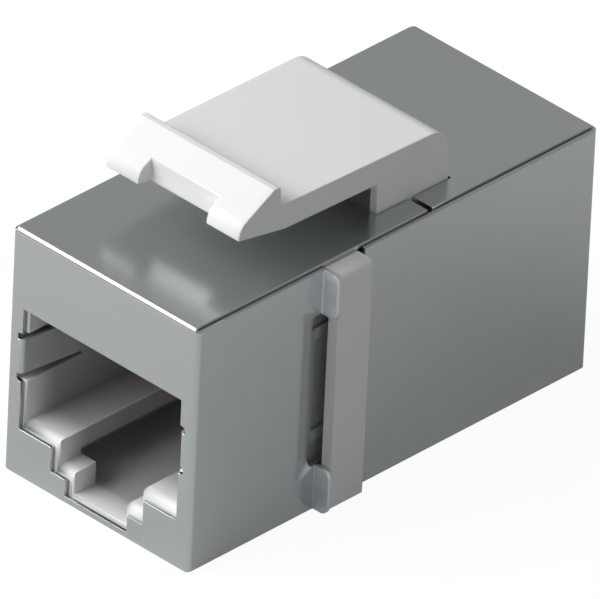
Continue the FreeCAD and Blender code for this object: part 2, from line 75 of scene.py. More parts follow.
def rounded(corners, steps=6, closed=True):
    """Straight runs joined by tangent arcs. A corner is (u, v, radius). Its arc begins and ends
    radius / tan(half the corner's angle) away from it, about a middle radius / sin(half) inside."""
    corners = np.array(corners, float)
    points, radii = corners[:, :2], corners[:, 2]
    back = np.roll(points, 1, axis=0) - points
    onward = np.roll(points, -1, axis=0) - points
    back /= np.linalg.norm(back, axis=1, keepdims=True)
    onward /= np.linalg.norm(onward, axis=1, keepdims=True)
    half = np.arccos(np.clip((back * onward).sum(axis=1), -1, 1)) / 2
    inward = back + onward
    inward /= np.maximum(np.linalg.norm(inward, axis=1, keepdims=True), TINY)
    middle = points + inward * (radii / np.sin(half))[:, None]
    spoke = points + back * (radii / np.tan(half))[:, None] - middle
    side = -np.sign(back[:, 0] * onward[:, 1] - back[:, 1] * onward[:, 0])
    turn = (side * (np.pi - 2 * half))[:, None] * np.linspace(0, 1, steps + 1)
    arcs = np.stack([
        middle[:, :1] + spoke[:, :1] * np.cos(turn) - spoke[:, 1:] * np.sin(turn),
        middle[:, 1:] + spoke[:, :1] * np.sin(turn) + spoke[:, 1:] * np.cos(turn)], axis=-1)
    run = arcs.reshape(-1, 2)
    apart = np.linalg.norm(np.diff(run, axis=0), axis=1) > TINY
    run = run[np.concatenate([[True], apart])]
    if closed and np.linalg.norm(run[0] - run[-1]) < TINY:
        run = run[:-1]
    return run


def loft(rings):
    """A closed outline carried along a path: rings[i, j] is point j of the outline at station i. Quads
    join neighbouring rings and a face closes each end."""
    stations, count = rings.shape[:2]
    index = np.arange(stations * count).reshape(stations, count)
    ahead = np.roll(index, -1, axis=1)
    sides = np.stack([index[:-1], ahead[:-1], ahead[1:], index[1:]], axis=-1).reshape(-1, 4)
    ends = [index[0, ::-1].tolist(), index[-1].tolist()]
    return rings.reshape(-1, 3), sides.tolist() + ends


def turned(points, facing):
    """Points of the front socket (facing -1), or turned half round the upright axis for the rear one."""
    return points * np.array([-facing, -facing, 1.0])


def reworked(mesh, operation):
    """Runs an operation of bmesh on the mesh."""
    work = bmesh.new()
    work.from_mesh(mesh)
    operation(work)
    work.to_mesh(mesh)
    work.free()


def face_outward(mesh):
    """Turns the faces of a closed mesh to the outside."""
    reworked(mesh, lambda work: bmesh.ops.recalc_face_normals(work, faces=work.faces))


def new_piece(name, points, faces, slot, material, *replaced):
    """A smooth-shaded mesh object that stands for the replaced nodes, with points given in millimetres."""
    mesh = bpy.data.meshes.new(name)
    mesh.from_pydata(np.asarray(points) * MM, [], faces)
    face_outward(mesh)
    mesh.shade_smooth()
    mesh.materials.append(material)
    piece = bpy.data.objects.new(name, mesh)
    bpy.context.scene.collection.objects.link(piece)
    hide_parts(*replaced)
    return piece


def node_tree(name):
    """A new material, its nodes and its links, and the shader that the rest feeds."""
    material = bpy.data.materials.new(name)
    material.use_nodes = True
    tree = material.node_tree
    return material, tree.nodes, tree.links, tree.nodes["Principled BSDF"]


def add_node(nodes, kind, inputs=None, **settings):
    """A shader node with its settings, and with the values of those inputs that nothing feeds."""
    node = nodes.new(f"ShaderNode{kind}")
    for name, value in settings.items():
        setattr(node, name, value)
    for name, value in (inputs or {}).items():
        node.inputs[name].default_value = value
    return node


def gold_plating():
    """Gold over nickel: warm metal whose roughness wanders along the strip."""
    material, nodes, links, shader = node_tree("contact_gold")
    shader.inputs["Metallic"].default_value = 1.0
    shader.inputs["Base Color"].default_value = (0.80, 0.56, 0.22, 1)
    place = add_node(nodes, "TexCoord")
    grain = add_node(nodes, "TexNoise", {"Scale": 900})
    gloss = add_node(nodes, "MapRange", {"To Min": 0.18, "To Max": 0.34})
    links.new(place.outputs["Object"], grain.inputs["Vector"])
    links.new(grain.outputs["Fac"], gloss.inputs["Value"])
    links.new(gloss.outputs["Result"], shader.inputs["Roughness"])
    return material


def contact_strip(number, facing):
    """One strip: an eight-sided section square to a path in the upright plane, which runs from the tail
    through the bend at the mouth to the free end. Odd and even tails leave above and below."""
    tail_level = contact_level + (tail_stagger if number % 2 else -tail_stagger)
    path = rounded([
        (tail_end, tail_level, 0), (tail_bend, tail_level, contact_bend),
        (tail_foot, contact_level, contact_bend), (contact_front, contact_level, contact_bend),
        (contact_front, contact_level - contact_drop, contact_bend), (contact_end, contact_end_level, 0)],
        steps=8, closed=False)
    along = np.gradient(path, axis=0)
    along /= np.linalg.norm(along, axis=1, keepdims=True)
    across = np.stack([-along[:, 1], along[:, 0]], axis=-1)
    w, t, c = contact_half_width, contact_half_thickness, contact_edge
    section = np.array([
        (w, t - c), (w - c, t), (c - w, t), (-w, t - c), (-w, c - t), (c - w, -t), (w - c, -t), (w, c - t)])
    middle = contact_pitch * (number - (CONTACTS + 1) / 2)
    rings = np.zeros((len(path), len(section), 3))
    rings[..., 0] = middle + section[:, 0]
    rings[..., 1] = path[:, None, 0] + across[:, None, 0] * section[:, 1] - half_length
    rings[..., 2] = path[:, None, 1] + across[:, None, 1] * section[:, 1]
    return turned(rings, facing)


contact_finish = gold_plating()
for socket, facing in (("front", -1), ("rear", 1)):
    for number in range(1, CONTACTS + 1):
        name = f"{socket}_contact_{number}"
        strip = new_piece(
            f"{name}_strip", *loft(contact_strip(number, facing)), "contact_gold", contact_finish, name)
        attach(strip, "body")


# Contact carriers
# Grooved blocks of pale plastic that drop into the housings from above and hold the upper runs of the
# contacts at their pitch. Each groove takes one strip.

carrier_low, carrier_high = (np.array(corner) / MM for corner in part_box("front_contact_carrier"))
groove_half, groove_depth = 0.25, 0.42
carrier_edge = 0.06


def skin_of_cells(lines, filled):
    """Skin of a block that the lines along x, y and z cut into cells: a quad wherever a cell that
    filled(x, y, z) accepts at its middle meets an empty one, facing the empty side."""
    lines = [np.unique(np.round(np.array(row, float), 4)) for row in lines]
    middles = np.meshgrid(*[(row[:-1] + row[1:]) / 2 for row in lines], indexing="ij")
    cells = np.pad(filled(*middles).astype(int), 1)
    points = np.stack(np.meshgrid(*lines, indexing="ij"), axis=-1)
    number = np.arange(points[..., 0].size).reshape(points.shape[:3])
    quads = []
    for axis in range(3):
        inside = [slice(1, -1)] * 3
        inside[axis] = slice(None)
        change = np.diff(cells[tuple(inside)], axis=axis)
        first, second = np.eye(3, dtype=int)[[(axis + 1) % 3, (axis + 2) % 3]]
        square = np.array([first * 0, first, first + second, second])
        for step, order in ((-1, square), (1, square[::-1])):
            corner = np.argwhere(change == step)
            quads.append(number[tuple(np.moveaxis(corner[:, None] + order, -1, 0))])
    used, faces = np.unique(np.concatenate(quads), return_inverse=True)
    return points.reshape(-1, 3)[used], faces.reshape(-1, 4).tolist()


def flat_faces_merged(mesh):
    """Joins the quads of each flat face, so that only the real edges of the moulding are left."""
    reworked(mesh, lambda work: bmesh.ops.dissolve_limit(
        work, angle_limit=math.radians(1), verts=work.verts, edges=work.edges,
        use_dissolve_boundaries=False))


def add_bevel(piece, radius, steps, limit_method):
    """A bevel of the given radius in millimetres, over normals that keep the flats flat."""
    bevel = piece.modifiers.new("edges", "BEVEL")
    bevel.limit_method = limit_method
    bevel.width = radius * MM
    bevel.segments = steps
    bevel.use_clamp_overlap = False
    piece.modifiers.new("normals", "WEIGHTED_NORMAL").keep_sharp = True
    return bevel


def round_edges(piece, radii, steps):
    """Rounds every edge of the piece by its own radius, in millimetres."""
    widest = float(np.max(radii))
    weight = piece.data.attributes.new("bevel_weight_edge", "FLOAT", "EDGE")
    weight.data.foreach_set("value", (radii / widest).astype(np.float32))
    add_bevel(piece, widest, steps, "WEIGHT")


def moulded_plastic(name, colour, roughness, shaded=None, shade_from=0.0, shade_to=0.0):
    """Satin moulding: a fine spark-eroded grain in the bump and in the gloss, over an even colour that
    drifts a little from place to place. In the sockets a painted shade, a darker tone standing in for the
    shade inside them, takes over between two depths from the mouth."""
    material, nodes, links, shader = node_tree(name)
    shader.inputs["Specular IOR Level"].default_value = 0.35
    faded, gloss_spread = 0.975, 0.06
    place = add_node(nodes, "TexCoord")
    drift = add_node(nodes, "TexNoise", {"Scale": 160})
    tint = add_node(
        nodes, "Mix", {"A": (*[faded * part for part in colour], 1), "B": (*colour, 1)}, data_type="RGBA")
    grain = add_node(nodes, "TexNoise", {"Scale": 9000, "Detail": 3})
    gloss = add_node(
        nodes, "MapRange", {"To Min": roughness - gloss_spread, "To Max": roughness + gloss_spread})
    bump = add_node(nodes, "Bump", {"Strength": 0.06, "Distance": 0.00002})
    links.new(place.outputs["Object"], drift.inputs["Vector"])
    links.new(place.outputs["Object"], grain.inputs["Vector"])
    links.new(drift.outputs["Fac"], tint.inputs["Factor"])
    links.new(tint.outputs["Result"], shader.inputs["Base Color"])
    links.new(grain.outputs["Fac"], gloss.inputs["Value"])
    links.new(gloss.outputs["Result"], shader.inputs["Roughness"])
    links.new(grain.outputs["Fac"], bump.inputs["Height"])
    links.new(bump.outputs["Normal"], shader.inputs["Normal"])
    if shaded:
        # Painted shade: from the mouth inwards the white gives way to the darker shaded tone.
        axes = add_node(nodes, "SeparateXYZ")
        from_middle = add_node(nodes, "Math", operation="ABSOLUTE")
        inward = add_node(nodes, "MapRange", {
            "From Min": (half_length - shade_from) * MM, "From Max": (half_length - shade_to) * MM},
            interpolation_type="SMOOTHSTEP")
        painted_shade_mix = add_node(nodes, "Mix", {"B": (*shaded, 1)}, data_type="RGBA")
        links.new(place.outputs["Object"], axes.inputs["Vector"])
        links.new(axes.outputs["Y"], from_middle.inputs[0])
        links.new(from_middle.outputs["Value"], inward.inputs["Value"])
        links.new(inward.outputs["Result"], painted_shade_mix.inputs["Factor"])
        links.new(tint.outputs["Result"], painted_shade_mix.inputs["A"])
        links.new(painted_shade_mix.outputs["Result"], shader.inputs["Base Color"])
    return material


def carrier_cells(x, y, z):
    """A block with a groove along its underside at every contact."""
    row = x / contact_pitch - 0.5
    at_contact = np.abs(row - np.round(row)) * contact_pitch < groove_half
    in_row = np.abs(row + 0.5) < CONTACTS / 2
    return ~(at_contact & in_row & (z < carrier_low[2] + groove_depth))


carrier_finish = moulded_plastic("carrier_moulding", (0.62, 0.63, 0.62), 0.5)
groove_middles = contact_pitch * (np.arange(1, CONTACTS + 1) - (CONTACTS + 1) / 2)
for socket, facing in (("front", -1), ("rear", 1)):
    points, faces = skin_of_cells([
        [carrier_low[0], *(groove_middles - groove_half), *(groove_middles + groove_half), carrier_high[0]],
        [carrier_low[1], carrier_high[1]],
        [carrier_low[2], carrier_low[2] + groove_depth, carrier_high[2]]], carrier_cells)
    carrier = new_piece(
        f"{socket}_carrier_block", turned(points, facing), faces, "carrier_moulding", carrier_finish,
        f"{socket}_contact_carrier")
    flat_faces_merged(carrier.data)
    round_edges(carrier, np.full(len(carrier.data.edges), carrier_edge), 2)
    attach(carrier, "body")


# Jack housings
# White mouldings with the plug's cavity, one facing each way. The front wall carries two shoulders and two
# lower treads with fully rounded front edges, and the plug's latch runs in a channel under the ledges.

wall_inset = 0.30
housing_half, housing_under = 6.95, 0.30
housing_end = half_length - 0.75
roof, low_roof = 15.85, 14.60
front_roof_end, rear_roof_end = 10.13, 10.00
cavity_half, cavity_depth = 5.955, 11.8
shoulder_level, tread_level, floor_level, ceiling_level = 3.70, 2.12, 0.72, 11.32
shoulder_half, tread_half = 3.265, 2.065
channel_half, channel_low, channel_top, channel_front = 5.1, 0.62, 2.45, 2.1
pocket_half, pocket_front = 4.85, 2.2
relief_half, relief_low, relief_high, relief_end = 6.75, 6.32, 9.46, 4.66
recess_inside, recess_front, recess_end = 6.5, 8.53, 12.85
nose_round, corner_round, moulded_edge, sill_edge = 0.6, 0.14, 0.07, 0.03
closeness = 0.01
white_tone, white_roughness = (0.83, 0.84, 0.835), 0.48


def housing_lines(roof_end):
    """The planes of a housing's faces: places across, depths and heights."""
    across = [
        housing_half, cavity_half, shoulder_half, tread_half, channel_half, pocket_half, relief_half,
        recess_inside]
    return [
        across + [-place for place in across],
        [wall_inset, pocket_front, channel_front, relief_end, recess_front, roof_end, cavity_depth,
         recess_end, housing_end],
        [housing_under, channel_low, floor_level, tread_level, channel_top, shoulder_level, relief_low,
         relief_high, ceiling_level, low_roof, roof]]


def housing_cells(roof_end, recessed):
    """The block less its cavity, plug-latch notch and channel, carrier pocket, spring reliefs and rib
    recesses."""
    def filled(x, depth, z):
        x = np.abs(x)
        in_socket = depth < cavity_depth
        hollow = (x < cavity_half) & (z > shoulder_level) & (z < ceiling_level) & in_socket
        hollow |= (x < shoulder_half) & (z > tread_level) & (z < shoulder_level) & in_socket
        hollow |= (x < tread_half) & (z > floor_level) & (z < tread_level) & in_socket
        in_channel = (z > channel_low) & (z < channel_top) & (depth > channel_front)
        hollow |= (x < channel_half) & in_channel & in_socket
        hollow |= (x < pocket_half) & (z > ceiling_level) & (depth > pocket_front)
        hollow |= (x < relief_half) & (z > relief_low) & (z < relief_high) & (depth < relief_end)
        hollow |= (depth > roof_end) & (z > low_roof)
        if recessed:
            hollow |= (x > recess_inside) & (depth > recess_front) & (depth < recess_end)
        return ~hollow
    return filled


def mesh_points(mesh):
    """The mesh's points, in millimetres."""
    points = np.empty(len(mesh.vertices) * 3)
    mesh.vertices.foreach_get("co", points)
    return points.reshape(-1, 3) / MM


def edge_ends(mesh):
    """Both ends of every edge, in millimetres."""
    ends = np.empty(len(mesh.edges) * 2, int)
    mesh.edges.foreach_get("vertices", ends)
    return mesh_points(mesh)[ends.reshape(-1, 2)]


def near(places, level):
    """True where a place is at the level, apart from the meshes' rounding."""
    return np.abs(places - level) < closeness


def housing_radii(ends):
    """Full rounds along the front of the shoulders and treads, smaller ones on the corners beside them, and
    the smallest on the low sill between the notch and the channel. The ends' y is the depth here."""
    across, depth, height = np.abs(ends[..., 0]), ends[..., 1], ends[..., 2]
    at_face = near(depth, wall_inset).all(axis=1)
    level = near(height[:, 0], height[:, 1])
    on_nose = near(height[:, 0], shoulder_level) | near(height[:, 0], tread_level)
    by_mouth = (across[:, 0] < cavity_half + closeness) & (height[:, 0] < shoulder_level + closeness)
    radii = np.full(len(ends), moulded_edge)
    radii[at_face & by_mouth] = corner_round
    radii[at_face & level & on_nose & by_mouth] = nose_round
    at_sill = near(depth, channel_front) & (height < floor_level + closeness)
    radii[at_sill.all(axis=1)] = sill_edge
    return radii


# The housings carry painted shade: their white darkens between 0.4 and 2.8 mm inside each mouth.
socket_plastic = moulded_plastic(
    "socket_moulding", white_tone, white_roughness, shaded=(0.41, 0.405, 0.40), shade_from=0.4,
    shade_to=2.8)
for socket, facing, roof_end, recessed in (
        ("front", -1, front_roof_end, True), ("rear", 1, rear_roof_end, False)):
    points, faces = skin_of_cells(housing_lines(roof_end), housing_cells(roof_end, recessed))
    housing = new_piece(
        f"{socket}_socket_moulding", points, faces, "white_moulding", socket_plastic,
        f"{socket}_jack_housing")
    flat_faces_merged(housing.data)
    radii = housing_radii(edge_ends(housing.data))
    placed = turned(mesh_points(housing.data) - (0, half_length, 0), facing)
    housing.data.vertices.foreach_set("co", (placed * MM).ravel())
    round_edges(housing, radii, 5)
    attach(housing, "body")


# Circuit board
# A glass-fibre board under green solder mask, standing between the housings. It keeps its solid form and
# joins the tails of the two sockets.

def solder_mask():
    """Green lacquer over glass cloth, whose threads show through as a fine unevenness of the tint."""
    material, nodes, links, shader = node_tree("board_mask")
    shader.inputs["Roughness"].default_value = 0.38
    place = add_node(nodes, "TexCoord")
    cloth = add_node(nodes, "TexNoise", {"Scale": 1500})
    tint = add_node(nodes, "ValToRGB")
    tint.color_ramp.elements[0].color = (0.010, 0.080, 0.030, 1)
    tint.color_ramp.elements[1].color = (0.020, 0.130, 0.050, 1)
    links.new(place.outputs["Object"], cloth.inputs["Vector"])
    links.new(cloth.outputs["Fac"], tint.inputs["Fac"])
    links.new(tint.outputs["Color"], shader.inputs["Base Color"])
    return material


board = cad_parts["circuit_board"]
board.data.materials.clear()
board.data.materials.append(solder_mask())


# Keystone frame
# One white moulding: a plate under the top of the shells with an arm down each side. The arms stand out of
# the shells as ribs that stop against the panel, with rounded upper ends.

frame_low, frame_high = (np.array(corner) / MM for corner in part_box("keystone_frame"))
rib_width, arm_thickness = 2.62, 0.82
rib_front, rib_rear = frame_low[1], frame_low[1] + rib_width
arm_outside, arm_inside = frame_high[0], frame_high[0] - arm_thickness
arm_foot = frame_low[2]
plate_under, plate_top = 14.65, 15.85
tail_half, tail_lap = 5.2, 0.6
leg_half, hollow_front, hollow_end = 4.76, 0.1, 4.3
rib_round, rib_edge = 0.4, 0.07

rib_outline = rounded([
    (arm_outside, arm_foot, 0), (arm_outside, plate_top, rib_round), (-arm_outside, plate_top, rib_round),
    (-arm_outside, arm_foot, 0), (-arm_inside, arm_foot, 0), (-arm_inside, plate_under, 0),
    (arm_inside, plate_under, 0), (arm_inside, arm_foot, 0)], steps=12)
tail_lines = [
    [-tail_half, -leg_half, leg_half, tail_half],
    [rib_front + tail_lap, hollow_front, hollow_end, frame_high[1]],
    [plate_under, plate_top]]


def tail_cells(x, y, z):
    """The plate's tail under the latch, open where the foot above it is hollow."""
    return (np.abs(x) > leg_half) | (y < hollow_front) | (y > hollow_end)


def drawn_along(outline, start, end):
    """An outline across the part, drawn straight along it from start to end."""
    x, z = outline.T
    return np.stack([np.stack([x, 0 * x + y, z], axis=-1) for y in (start, end)])


def joined(*parts):
    """One list of points and faces from several."""
    shifts = np.cumsum([0] + [len(points) for points, _ in parts])
    faces = [(np.array(face) + shift).tolist() for (_, part), shift in zip(parts, shifts) for face in part]
    return np.concatenate([points for points, _ in parts]), faces


def soften(piece, radius, steps, sharpest=40):
    """Rounds the edges that turn by more than the sharpest smooth angle, in degrees."""
    add_bevel(piece, radius, steps, "ANGLE").angle_limit = math.radians(sharpest)


white_plastic = moulded_plastic("white_moulding", white_tone, white_roughness)
ribs = new_piece("ribbed_frame", *joined(
    loft(drawn_along(rib_outline, rib_front, rib_rear)), skin_of_cells(tail_lines, tail_cells)),
    "white_moulding", white_plastic, "keystone_frame")
soften(ribs, rib_edge, 3)
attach(ribs, "body")


# Panel latch
# The springy latch, moulded in one with the frame: a foot through the top of the shells, a lever over them,
# and at its tip a lip that catches the panel, a long ramp and a nose with a finger notch.

lever_low, lever_high = (np.array(corner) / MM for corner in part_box("latch_lever"))
root_gap, foot_length, foot_sunk = 0.05, 5.65, 0.4
foot_front, foot_rear = lever_high[1] + root_gap, frame_high[1]
lever_thickness, lever_slope = 1.65, 0.02
lever_under = lever_low[2]
lever_top = lever_under + lever_thickness
tip, lip_top = lever_low[1], lever_high[2]
catch_reach, ramp_length, nose_back = 7.65, 2.65, 7.2
catch, lip_front, nose_start = foot_front - catch_reach, tip + ramp_length, foot_front - nose_back
nose_rise, nose_face = 0.66, 0.75
under_nose_start = lever_under + nose_back * lever_slope
nose_under = under_nose_start + nose_rise
latch_half, nose_half = 5.38, 5.21
notch_half, notch_depth = 2.65, 1.02
notch_back = tip + notch_depth
hollow_depth = hollow_end - foot_front
foot_round, catch_root, lip_round, ramp_edge = 1.6, 0.24, 0.25, 0.15
nose_curve, under_curve, root_round, latch_edge = 1.1, 0.8, 0.12, 0.07
root_reach, root_rise = 0.2, 0.02
ramp_slope = (lip_top - nose_under - nose_face) / (lip_front - tip)
nose_slope = (nose_under - under_nose_start) / (nose_start - tip)

latch_outline = rounded([
    (foot_rear, plate_top - foot_sunk, 0), (foot_rear, lever_top - foot_length * lever_slope, foot_round),
    (catch, lever_top + catch_reach * lever_slope, catch_root), (catch, lip_top, lip_round),
    (lip_front, lip_top, ramp_edge), (notch_back, nose_under + nose_face + notch_depth * ramp_slope, 0),
    (tip, nose_under + nose_face, nose_curve), (tip, nose_under, 0),
    (notch_back, nose_under - notch_depth * nose_slope, 0), (nose_start, under_nose_start, under_curve),
    (foot_front, lever_under, root_round), (foot_front, plate_top - foot_sunk, 0)], steps=10)


def welded(points, quads):
    """Points closer than a ten-thousandth become one. A quad that loses a corner by it is a triangle, and
    one that loses two is left out."""
    points, back = np.unique(np.round(points, 4), axis=0, return_inverse=True)
    used, quads = np.unique(back.ravel()[quads], return_inverse=True)
    quads = quads.reshape(-1, 4)
    repeated = quads == np.roll(quads, 1, axis=1)
    lost = repeated.sum(axis=1)
    triangles = quads[lost == 1][~repeated[lost == 1]].reshape(-1, 3)
    return points[used], quads[lost == 0].tolist() + triangles.tolist()


def latch_rings():
    """The side outline carried across the latch. The outer stations follow the taper from the foot to the
    nose. Between the legs the front of the foot is set back, and between the inner stations the nose is
    pressed back to the notch's wall."""
    y, z = latch_outline.T
    half = latch_half + (nose_half - latch_half) * (foot_rear - y) / (foot_rear - tip)
    on_foot = (np.abs(y - foot_front) < root_reach) & (z < lever_under + root_rise)
    hollow = np.where(on_foot, y + hollow_depth, y)
    pressed = np.maximum(hollow, notch_back)
    leg, notch = np.full_like(y, leg_half), np.full_like(y, notch_half)
    one_side = [(half, y), (leg, y), (leg, hollow), (notch, hollow), (notch, pressed)]
    stations = one_side + [(-x, depth) for x, depth in reversed(one_side)]
    return np.stack([np.stack([x, depth, z], axis=-1) for x, depth in stations])


points, faces = loft(latch_rings())
points, faces = welded(points, np.array(faces[:-2]))
latch = new_piece("panel_latch", points, faces, "white_moulding", white_plastic, "latch_lever")
reworked(latch.data, lambda work: bmesh.ops.holes_fill(work, edges=work.edges))
face_outward(latch.data)
soften(latch, latch_edge, 3)
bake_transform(latch)


# Folded shells
# Two boxes of plated steel sheet, each stamped and folded from one blank around its stepped socket mouth.
# The front one is fixed to the frame by tabs bent out against the ribs and tongues dipped under them.

shell_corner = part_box("rear_shield")[1]
half_width, shell_top = shell_corner.x / MM, shell_corner.z / MM
sheet_thickness, fold_radius, crease_radius, sheet_edge = 0.25, 0.33, 0.08, 0.03
seam_step, flap_half, flap_hem = 0.18, 6.96, 0.1
front_top_flap, rear_top_flap, rear_side_flap, foot_gap = 18.3, 12.94, 18.5, 0.12
mouth_half, mouth_top = 6.175, 11.1
shoulder_edge, step_edge, slot_edge = 3.2, 1.62, 0.55
step_half, slot_half = 3.625, 2.425
spring_low, spring_high, spring_reach, spring_lean = 6.77, 9.01, 4.3, 0.5
slot_height, slot_end, slot_round = 0.45, 6.535, 0.2
opening_half = latch_half + foot_gap
rib_setback, tab_gap = rib_front + half_length, 0.1
tab_edge, tab_top, tab_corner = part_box("front_shield")[1].x / MM, 3.11, 0.55
tab_face = rib_setback - tab_gap - sheet_thickness
tab_crease = tab_face - crease_radius
tongue_inset, tongue_dip, tongue_reach = 0.45, 1.7, 1.9
dip_start, tongue_end = tab_face - tongue_dip, rib_setback + tongue_reach
dip_foot, dip_blend = 2.0, 0.6
dip_rows = [2.1, 2.25, 2.4, 3.33, 3.45, 3.56]
neck_ahead, neck_foot = 0.33, 4.31
neck = tab_face - neck_ahead
window_ahead, window_behind, window_low, window_high = 0.28, 0.6, 5.05, 11.1
window_front, window_end = rib_setback - window_ahead, tongue_end - window_behind
flat_half, flat_low, flat_high = half_width - fold_radius, fold_radius, shell_top - fold_radius
fold_turn = np.linspace(0, np.pi / 2, 9)


def patch(first, second, place, kept=None):
    """Quads between the points place(u, v) on the grid of lines first and second, where kept accepts the
    middle of a quad."""
    u, v = np.meshgrid(first, second, indexing="ij")
    points = np.stack(np.broadcast_arrays(*place(u, v)), axis=-1)
    index = np.arange(u.size).reshape(u.shape)
    quads = np.stack([index[:-1, :-1], index[1:, :-1], index[1:, 1:], index[:-1, 1:]], axis=-1)
    if kept is not None:
        quads = quads[kept((u[:-1, :-1] + u[1:, 1:]) / 2, (v[:-1, :-1] + v[1:, 1:]) / 2)]
    return points.reshape(-1, 3), quads.reshape(-1, 4)


def sheet_of(patches):
    """One sheet from patches that share their edges."""
    shifts = np.cumsum([0] + [len(points) for points, _ in patches])
    quads = np.concatenate([quads + shift for (_, quads), shift in zip(patches, shifts)])
    return welded(np.concatenate([points for points, _ in patches]), quads)


def in_mouth(x, z):
    """The stepped mouth with the slots beside the grounding springs."""
    x = np.abs(x)
    below_top = z < mouth_top
    hole = (x < mouth_half) & (z > shoulder_edge) & below_top
    hole |= (x < step_half) & (z > step_edge) & below_top
    hole |= (x < slot_half) & (z > slot_edge) & below_top
    return hole | ((x < slot_end) & (z > spring_low - slot_height) & (z < spring_high + slot_height))


def wall_point(x, z):
    """The wall is flat; the outer corner of each spring slot is drawn in to a quarter round."""
    into_round = np.maximum(z - spring_high, spring_low - z) - slot_height + slot_round
    at_slot_end = np.abs(np.abs(x) - slot_end) < TINY
    at_round = (into_round > 0) & (into_round < slot_round + TINY) & at_slot_end
    drawn_in = slot_end - slot_round + np.sqrt(np.clip(slot_round ** 2 - into_round ** 2, 0, None))
    return np.where(at_round, np.sign(x) * drawn_in, x), 0 * x, z


def side_path(corners):
    """Depth and place across of a flap, as a function of the number of the point along it."""
    run = rounded(corners, steps=6, closed=False)
    return lambda number: (np.interp(number, np.arange(len(run)), run[:, 0]),
                           np.interp(number, np.arange(len(run)), run[:, 1])), len(run)


def dipped(depth, z):
    """Place across of the front shell's side behind the start of the dip. The tongue sinks along a quarter
    of a wave, and the line where it leaves the flat beside a tab slants from dip_foot up to the tab."""
    along = np.clip((depth - dip_start) / tongue_dip, 0, 1)
    from_end = np.minimum(z, shell_top - z)
    clear = np.clip((from_end - dip_foot - (tab_top - dip_foot) * along) / dip_blend, 0, 1)
    return half_width - tongue_inset * (1 - np.cos(np.pi / 2 * along)) * clear ** 2 * (3 - 2 * clear)


def in_relief(depth, z):
    """The slot between a tab and the tongue."""
    from_end = np.minimum(z, shell_top - z)
    return (depth > neck) & (from_end > tab_top) & (from_end < neck_foot)


def in_window(depth, z):
    """The window in the tongue, under the rib."""
    return (depth > window_front) & (depth < window_end) & (z > window_low) & (z < window_high)


def both_sides(points, quads):
    """A patch of the right side and its mirror image on the left."""
    return [(points, quads), (points * (-1, 1, 1), quads[:, ::-1])]


def between(lines, low, high):
    """The lines that lie from low to high, both included."""
    return lines[(lines > low - TINY) & (lines < high + TINY)]


def tab_rows():
    """Heights that carry a lower tab, its round corners, the slot above it and the edge of the dip."""
    corner_rounds = tab_corner * (1 - np.cos(np.radians([15, 30, 45, 60, 75, 90])))
    return np.concatenate([
        [tab_top, neck_foot], dip_rows, seam_step + corner_rounds, tab_top - corner_rounds])


def shell_patches(top_length, side_length, opening_start, has_tabs):
    """The sheet's outer face: the wall around the mouth, the folds over to the top and bottom flaps, the
    grounding springs, the side flaps and, on the front shell, the tabs and tongues behind them."""
    slot_rounds = slot_height - slot_round + slot_round * np.sin(np.radians([0, 22.5, 45, 67.5]))
    heights = np.unique(np.round(np.concatenate([
        [seam_step, flat_low, slot_edge, step_edge, shoulder_edge, spring_low - slot_height, spring_low,
         spring_high, spring_high + slot_height, mouth_top, flat_high, shell_top - seam_step, window_low],
        spring_low - slot_rounds, spring_high + slot_rounds, tab_rows(), shell_top - tab_rows()]), 4))
    across = np.array([
        slot_half, step_half, opening_half, mouth_half, slot_end - slot_round, slot_end, flat_half])
    across = np.concatenate([-across[::-1], across])
    across_flap = np.concatenate([[-flap_half], across, [flap_half]])

    def around_opening(x, depth):
        """Outside the opening for the latch's foot."""
        return (np.abs(x) > opening_half) | (depth < opening_start)

    def rise(turn):
        """Depth and height along the upper fold, a quarter of a circle."""
        return fold_radius * (1 - np.cos(turn)), flat_high + fold_radius * np.sin(turn)

    made = [patch(across, between(heights, flat_low, flat_high), wall_point, lambda x, z: ~in_mouth(x, z))]
    made.append(patch(across_flap, fold_turn, lambda x, turn: (x, *rise(turn))))
    top_lines = [fold_radius, min(opening_start, top_length), top_length]
    made.append(patch(
        across_flap, top_lines, lambda x, depth: (x, depth, 0 * x + shell_top), around_opening))
    made.append(patch(
        across_flap, fold_turn, lambda x, turn: (x, rise(turn)[0], shell_top - rise(turn)[1])))
    made.append(patch(across_flap, top_lines, lambda x, depth: (x, depth, 0 * x)))

    spring_path, spring_points = side_path([
        (0, slot_end, 0), (0, mouth_half, fold_radius), (spring_reach, mouth_half - spring_lean, 0)])
    flap_path, flap_points = side_path([
        (0, flat_half, 0), (0, half_width, fold_radius), (side_length - flap_hem, half_width, 0),
        (side_length, half_width, 0)])
    for path, count, rows in (
            (spring_path, spring_points, between(heights, spring_low, spring_high)),
            (flap_path, flap_points, heights)):
        made += both_sides(*patch(np.arange(count), rows, lambda number, z: (*path(number)[::-1], z)))
    if not has_tabs:
        return made

    dip_lines = np.concatenate([np.linspace(dip_start, neck, 12), np.linspace(neck, tab_crease, 4)])
    made += both_sides(*patch(
        np.unique(np.round(dip_lines, 4)), heights, lambda depth, z: (dipped(depth, z), depth, z),
        lambda depth, z: ~in_relief(depth, z)))
    tongue_lines = np.round([tab_crease, tab_face, window_front, window_end, tongue_end], 4)
    made += both_sides(*patch(
        tongue_lines, between(heights, neck_foot, shell_top - neck_foot),
        lambda depth, z: (dipped(depth, z), depth, z), lambda depth, z: ~in_window(depth, z)))
    tab_path, tab_points = side_path([
        (tab_crease, half_width, 0), (tab_face, half_width, crease_radius), (tab_face, tab_edge, 0)])

    def tab_point(number, z):
        """A tab's outer edge is trimmed to a round at both of its corners."""
        depth, x = tab_path(number)
        from_end = np.minimum(z - z.min(), z.max() - z)
        short = np.clip(tab_corner - from_end, 0, None)
        trim = tab_corner - np.sqrt(np.clip(tab_corner ** 2 - short ** 2, 0, None))
        return x - np.where(number == tab_points - 1, trim, 0), depth, z

    for rows in (between(heights, 0, tab_top), between(heights, shell_top - tab_top, shell_top)):
        made += both_sides(*patch(np.arange(tab_points), rows, tab_point))
    return made


